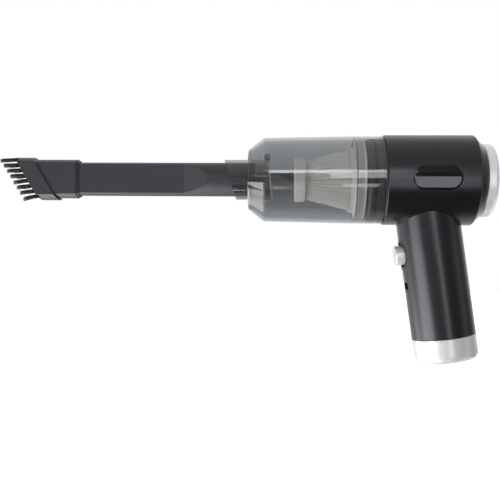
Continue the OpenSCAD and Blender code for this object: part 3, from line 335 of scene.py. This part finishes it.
def inlay(name, node, side):
    """Oblong = points at one distance from a middle line, in rings from the face's middle out
    over the edge to the back's middle. Face height = circle of the body over the width, less a
    quarter round near the edge. The back is the same, one thickness in."""
    low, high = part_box(node)
    half_h = (high.z - low.z) / 2 + INLAY_GROW
    half_line = (high.x - low.x - high.z + low.z) / 2
    face_r = max(abs(low.y), abs(high.y))
    bend = np.linspace(-math.pi / 2, math.pi / 2, INLAY_ROUND)
    line = np.linspace(-half_line, half_line, INLAY_LONG)[1:-1]
    base = np.concatenate([half_line + 0 * bend, line[::-1], -half_line + 0 * bend, line])
    across = np.concatenate([np.cos(bend), 0 * line, -np.cos(bend), 0 * line])
    upward = np.concatenate([np.sin(bend), 0 * line + 1, -np.sin(bend), 0 * line - 1])
    fade = np.linspace(0, math.pi / 2, INLAY_EDGE_RINGS)
    inset = INLAY_EDGE * (1 - np.sin(fade))
    drop = INLAY_EDGE * (1 - np.cos(fade))
    inner = half_h * np.array(INLAY_INWARD)
    inset = np.concatenate([inner, inset, [0], inner[::-1]])
    drop = np.concatenate([0 * inner, drop, [INLAY_T], INLAY_T + 0 * inner])
    reach = (half_h - inset)[:, None]
    x = (low.x + high.x) / 2 + base + reach * across
    z = (low.z + high.z) / 2 - AXIS_Z + reach * upward
    y = side * (np.sqrt(face_r ** 2 - z ** 2) - drop[:, None])
    grid = np.stack([x, y, AXIS_Z + z], -1)
    mesh = tube_mesh(name, [grid])
    shell = bmesh.new()
    shell.from_mesh(mesh)
    bmesh.ops.remove_doubles(shell, verts=shell.verts, dist=MERGE_WITHIN)
    bmesh.ops.recalc_face_normals(shell, faces=shell.faces)
    shell.to_mesh(mesh)
    shell.free()
    return mesh


gloss_inlay = finish_of("gloss inlay", (0.006, 0.006, 0.007), (0.003, 0.0000015, 0.07, 0.04),
                        IOR=1.39, Specular_Tint=COOL)
add_piece(inlay("inlay_left", "badge_left", -1), gloss_inlay, "main", "badge_gloss", "badge_left")
add_piece(inlay("inlay_right", "badge_right", 1), gloss_inlay, "main", "badge_gloss", "badge_right")


# Rear end: a gloss black cone, the silver outlet ring in it, and a black grille with foam behind.
# The ring, like the foot and the button, is plastic with a bright satin metal coat.
dress(finish_of("gloss black", (0.004, 0.004, 0.0048), (0.003, 0.000002, 0.14, 0.05)), "rear_cone")
dress(finish_of("satin silver", (0.82, 0.82, 0.836), (0.0006, 0.000008, 0.36, 0.05), 0.97,
                Metallic=0.4), "rear_ring")
dress(finish_of("grille black", (0.01, 0.01, 0.01), (0.0005, 0.00001, 0.5, 0.05)), "exhaust_grille")
dress(finish_of("foam", (0.05, 0.05, 0.052), (0.0009, 0.0004, 0.95, 0.05), 0.4), "exhaust_filter")

# Foot: a silver cap that plugs into the end of the handle and closes it. Its coat is the same
# kind as the ring's, a little darker and smoother.
foot_silver = finish_of("foot silver", (0.60, 0.60, 0.611), (0.0006, 0.000008, 0.28, 0.05), 0.97,
                        Metallic=0.15)
dress(foot_silver, "base_cap")

# Power button: a silver cap in a gloss black recess in the handle's front. It sits on the
# plunger of a small switch, and a thumb pushes it in.
dress(foot_silver, "button_cap")
dress(finish_of("recess black", (0.004, 0.004, 0.0048), (0.002, 0.000002, 0.16, 0.05)),
      "button_bezel")
dress(finish_of("switch black", (0.012, 0.012, 0.012), (0.0005, 0.00001, 0.5, 0.05)), "switch_body")
dress(finish_of("plunger white", (0.75, 0.75, 0.72), (0.0008, 0.00001, 0.4, 0.05)),
      "switch_plunger")

# Charging socket and lamp: a black moulded block with a slot, low on the handle's front, and
# the clear end of a tiny lamp above it. Both are soldered to the board inside.
dress(finish_of("socket black", (0.004, 0.004, 0.004), (0.0005, 0.00001, 0.5, 0.05)), "charge_port")
dress(finish_of("lamp lens", (0.5, 0.5, 0.5), (0.001, 0.000002, 0.15, 0.05)), "status_led")


# Dust cup and twist collar: smoky clear plastic, moulded in one piece each and polished.
# A wall takes three tenths of the light, its edges more, the lip inside the collar less. Light
# reaches the filter by many ways round, so the walls shade it by a fifth of that only. The
# lengths are counted back from the cup's front face.
SMOKE_REACH, WALL_TAKES, LIP_TAKES, EDGE_TAKES, SHADE_SHARE = 0.1, 0.30, 0.07, 0.65, 0.2
CUP_LEN, COLLAR_END, SEAM_LEN, EDGE_LEN, RIM_LEN = 0.075, 0.0946, 0.0002, 0.0004, 0.0011


def smoke(name, *bands):
    """Clear plastic as thin layers. Each band is (start, share): from that distance behind the
    cup's front face on, the wall takes that share of the light. The bands lie within the reach
    on either side of that face."""
    made = finish_of(name, (0.03, 0.033, 0.036), (0.01, 0.000001, 0.03, 0.02), IOR=2.0)
    new, link = made.node_tree.nodes.new, made.node_tree.links.new
    coord, split = new("ShaderNodeTexCoord"), new("ShaderNodeSeparateXYZ")
    along, share = new("ShaderNodeMapRange"), new("ShaderNodeValToRGB")
    along.inputs["From Min"].default_value = CUP_FRONT_X - SMOKE_REACH
    along.inputs["From Max"].default_value = CUP_FRONT_X + SMOKE_REACH
    share.color_ramp.interpolation = "CONSTANT"
    while len(share.color_ramp.elements) < len(bands):
        share.color_ramp.elements.new(0.5)
    for element, (start, alpha) in zip(share.color_ramp.elements, bands):
        element.position = 0.5 + start / (2 * SMOKE_REACH)
        element.color = (alpha, alpha, alpha, 1)
    link(coord.outputs["Object"], split.inputs[0])
    link(split.outputs["X"], along.inputs["Value"])
    link(along.outputs[0], share.inputs[0])
    path, dims, taken = (new("ShaderNode" + kind) for kind in ("LightPath", "MapRange", "Math"))
    dims.inputs["To Min"].default_value, dims.inputs["To Max"].default_value = 1, SHADE_SHARE
    taken.operation = "MULTIPLY"
    link(path.outputs["Is Shadow Ray"], dims.inputs["Value"])
    link(share.outputs[0], taken.inputs[0])
    link(dims.outputs[0], taken.inputs[1])
    link(taken.outputs[0], made.node_tree.nodes["Principled BSDF"].inputs["Alpha"])
    return made


dress(smoke("smoky clear", (-SMOKE_REACH, WALL_TAKES), (0, EDGE_TAKES), (RIM_LEN, WALL_TAKES),
            (CUP_LEN - EDGE_LEN, EDGE_TAKES), (CUP_LEN + SEAM_LEN, LIP_TAKES)), "dust_cup")
dress(smoke("smoky collar", (-SMOKE_REACH, WALL_TAKES), (CUP_LEN + SEAM_LEN, EDGE_TAKES),
            (CUP_LEN + EDGE_LEN, WALL_TAKES), (COLLAR_END - RIM_LEN, EDGE_TAKES)), "cup_collar")
dress(finish_of("seal rubber", (0.02, 0.02, 0.02), (0.0006, 0.00001, 0.7, 0.05)), "spigot_seal")

# Flap: a soft grey disc that closes the inlet tube's slanted end when the air stops. It hangs
# from a plain grey pin across the top of the tube.
dress(finish_of("flap rubber", (0.42, 0.42, 0.42), (0.0006, 0.00001, 0.6, 0.05)), "inlet_flap")
dress(finish_of("pin grey", (0.45, 0.45, 0.46), (0.0006, 0.000004, 0.5, 0.05)), "flap_pin")


# Filter: off-white pleated paper in a cone, glued between a front cap and a rear flange of
# pale plastic, with a cage inside that holds it open. The ridges wander a little, in waves of
# (how far, how often round, how far the wave turns towards the rear).
PLEATS, PLEAT_DEPTH, PAPER_T, FRONT_RIDGE_R = 40, 0.003, 0.0008, 0.0140
PLEAT_SAMPLES, PLEAT_RINGS = 14, 26
RIDGE_WAVES, WAVE_SHARE, FOLD_SHARPNESS = ((0.035, 7, 5), (0.03, 19, -9)), 0.35, 0.93


def pleated_cone():
    """Radius = ridge radius - depth * (folded wave of the angle), where the wave is a rounded
    zigzag, and ridge radius and depth grow evenly from the front cap to the rear ring. Ridges
    wander a little. The inner side is the same surface, one paper thickness further in."""
    low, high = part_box("filter_media")
    rear_ridge = high.z - AXIS_Z
    turns = np.linspace(0, 2 * math.pi, PLEATS * PLEAT_SAMPLES, endpoint=False)
    share = np.linspace(0, 1, PLEAT_RINGS)[:, None]
    ridge = FRONT_RIDGE_R + (rear_ridge - FRONT_RIDGE_R) * share
    depth = PLEAT_DEPTH * ridge / rear_ridge
    wander = sum(far * np.sin(often * turns + lead * share) for far, often, lead in RIDGE_WAVES)
    wave = np.cos(PLEATS * turns + wander * PLEATS * WAVE_SHARE * np.sin(math.pi * share))
    zigzag = np.arccos(FOLD_SHARPNESS * wave) / math.pi
    outer = ridge - depth * (zigzag - zigzag.min()) / (zigzag.max() - zigzag.min())
    inner = outer - PAPER_T
    radius = np.concatenate([outer, inner[::-1], outer[:1]])
    x = np.concatenate([share, share[::-1], share[:1]]) * (high.x - low.x) + low.x
    x = np.broadcast_to(x, radius.shape)
    grid = np.stack([x, radius * np.sin(turns), AXIS_Z + radius * np.cos(turns)], -1)
    return tube_mesh("filter_pleats", [grid])


paper = finish_of("filter paper", (0.84, 0.845, 0.815), (0.0009, 0.00016, 0.95, 0.03), 0.93)
add_piece(pleated_cone(), paper, "filter", "filter_paper", "filter_media")
dress(finish_of("filter plastic", (0.86, 0.865, 0.83), (0.0008, 0.00002, 0.6, 0.05), 0.95),
      "filter_flange", "filter_cap", "filter_cage")

# Crevice tool and brush sleeve: matt dark grey plastic from a finely eroded mould. The tool's
# round end pushes into the cup's tube, and the sleeve slides over the tool's flat end.
dress(finish_of("matt grey", (0.026, 0.0255, 0.0295), (0.0004, 0.00002, 0.48, 0.08), 0.85,
                Specular_Tint=COOL), "crevice_tool", "brush_sleeve")


# Bristles: two rows of black nylon tufts, stapled into the sleeve's slanted mouth.
# Each tuft is a bundle of strands that lean, bend and end a little differently. The right row
# stands half a step aside of the left one. The mouth's middle is counted from the cup's front.
TUFTS, TUFT_PITCH, TUFT_IN = 8, 0.00375, 0.0007
TUFT_LOW_LEN, TUFT_HIGH_LEN, TUFT_LOW_SAG, TUFT_HIGH_SAG = 0.010086, 0.011685, -0.0020, -0.0006
TUFT_ROOT_R, TUFT_TIP_R, STRANDS, STRAND_R = 0.00128, 0.00150, 60, 0.00015
LEN_SCATTER, SAG_SCATTER, TIP_SCATTER, BEND_POWER = 0.09, 0.0003, 0.00012, 1.3
MOUTH_FRONT, MOUTH_LEAN, GOLDEN_TURN = 0.16065, math.radians(30.7), math.radians(137.508)
STRAND_TAPER, STRAND_SIDES = (1, 1, 0.95, 0.85, 0.6), 4


def bristle_row(name, node, tufts, seed):
    """Strand centre = root, then forward by share * length and aside by share to the bend power
    * way from root to tip, where roots fill a disc evenly and tips a wider one. Lower tufts are
    shorter and droop more. A strand is a thin tapering square tube along its centre line."""
    chance = np.random.default_rng(seed)
    low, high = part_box(node)
    middle_y = (low.y + high.y) / 2
    shape = (tufts, STRANDS)
    z = (np.arange(tufts) - (tufts - 1) / 2) * TUFT_PITCH
    root_x = CUP_FRONT_X - MOUTH_FRONT - z * math.tan(MOUTH_LEAN) + TUFT_IN
    spot = np.sqrt((np.arange(STRANDS) + 0.5) / STRANDS)
    turn_at = np.arange(STRANDS) * GOLDEN_TURN
    side, up = spot * np.cos(turn_at), spot * np.sin(turn_at)
    full = np.linspace(TUFT_LOW_LEN, TUFT_HIGH_LEN, tufts)[:, None] + TUFT_IN
    length = full * (1 - LEN_SCATTER * chance.random(shape) ** 2)
    sag = np.linspace(TUFT_LOW_SAG, TUFT_HIGH_SAG, tufts)
    droop = (sag + SAG_SCATTER * chance.standard_normal(tufts))[:, None]
    tip_side = side * TUFT_TIP_R + TIP_SCATTER * chance.standard_normal(shape)
    tip_up = up * TUFT_TIP_R + TIP_SCATTER * chance.standard_normal(shape) + droop
    share = np.linspace(0, 1, len(STRAND_TAPER))[:, None, None]
    curve = share ** BEND_POWER
    centre = np.stack([
        root_x[:, None] - length * share,
        middle_y + side * TUFT_ROOT_R + (tip_side - side * TUFT_ROOT_R) * curve,
        AXIS_Z + z[:, None] + up * TUFT_ROOT_R + (tip_up - up * TUFT_ROOT_R) * curve], -1)
    angle = np.arange(STRAND_SIDES) * 2 * math.pi / STRAND_SIDES
    ring = np.stack([0 * angle, np.cos(angle), np.sin(angle)], -1)
    thick = STRAND_R * np.array(STRAND_TAPER)[:, None, None, None, None]
    grid = centre[..., None, :] + thick * ring
    start, end = (centre[i, ..., None, :] + 0 * ring for i in (0, -1))
    grid = np.concatenate([start[None], grid, end[None]])
    grid[..., 0] = np.maximum(grid[..., 0], low.x)
    return tube_mesh(name, [grid[:, i, j] for i in range(tufts) for j in range(STRANDS)])


nylon = finish_of("nylon black", (0.008, 0.008, 0.009), (0.0004, 0.000001, 0.35, 0.05))
for name, node, tufts, seed in (("tufts_left", "bristles_left", TUFTS, 4),
                                ("tufts_right", "bristles_right", TUFTS - 1, 9)):
    add_piece(bristle_row(name, node, tufts, seed), nylon, "brush", "bristle_black", node)


# Fan and motor, hidden in the body: a shroud and mounts of grey plastic, a white impeller,
# a plated steel can with magnets, and copper windings on the shaft.
dress(finish_of("inner grey", (0.16, 0.16, 0.17), (0.0006, 0.00002, 0.55, 0.05)),
      "fan_shroud", "motor_mount", "rear_support", "motor_end_bell")
dress(finish_of("impeller white", (0.72, 0.72, 0.68), (0.0008, 0.00001, 0.45, 0.05), 0.92),
      "impeller")
dress(finish_of("plated steel", (0.60, 0.60, 0.60), (0.0008, 0.000004, 0.3, 0.1), 0.9, Metallic=1),
      "motor_can")
dress(finish_of("shaft steel", (0.55, 0.55, 0.56), (0.0005, 0.000002, 0.22, 0.05), 0.9, Metallic=1),
      "motor_shaft")
dress(finish_of("screw steel", (0.35, 0.35, 0.36), (0.0005, 0.000004, 0.35, 0.08), Metallic=1),
      "motor_screws", "housing_screws", "board_screws")
dress(finish_of("ferrite", (0.03, 0.03, 0.032), (0.0005, 0.00002, 0.6, 0.1)), "motor_magnets")
dress(finish_of("copper windings", (0.62, 0.27, 0.13), (0.0006, 0.0001, 0.35, 0.1), 0.6,
                Metallic=1), "armature")

# Battery and board, hidden in the handle: two wrapped cells in a plastic holder, and a green
# board with the switch, the socket and the lamp on it. Red leads run from it to the motor.
dress(finish_of("cell wrap", (0.05, 0.16, 0.42), (0.001, 0.00001, 0.3, 0.05), 0.9), "battery_cells")
dress(finish_of("holder blue", (0.10, 0.13, 0.17), (0.0006, 0.00001, 0.5, 0.05)), "battery_holder")
dress(finish_of("board green", (0.02, 0.14, 0.06), (0.001, 0.00003, 0.35, 0.1), 0.5),
      "control_board")
dress(finish_of("lead red", (0.45, 0.02, 0.02), (0.0008, 0.00001, 0.4, 0.05), 0.8), "motor_leads")
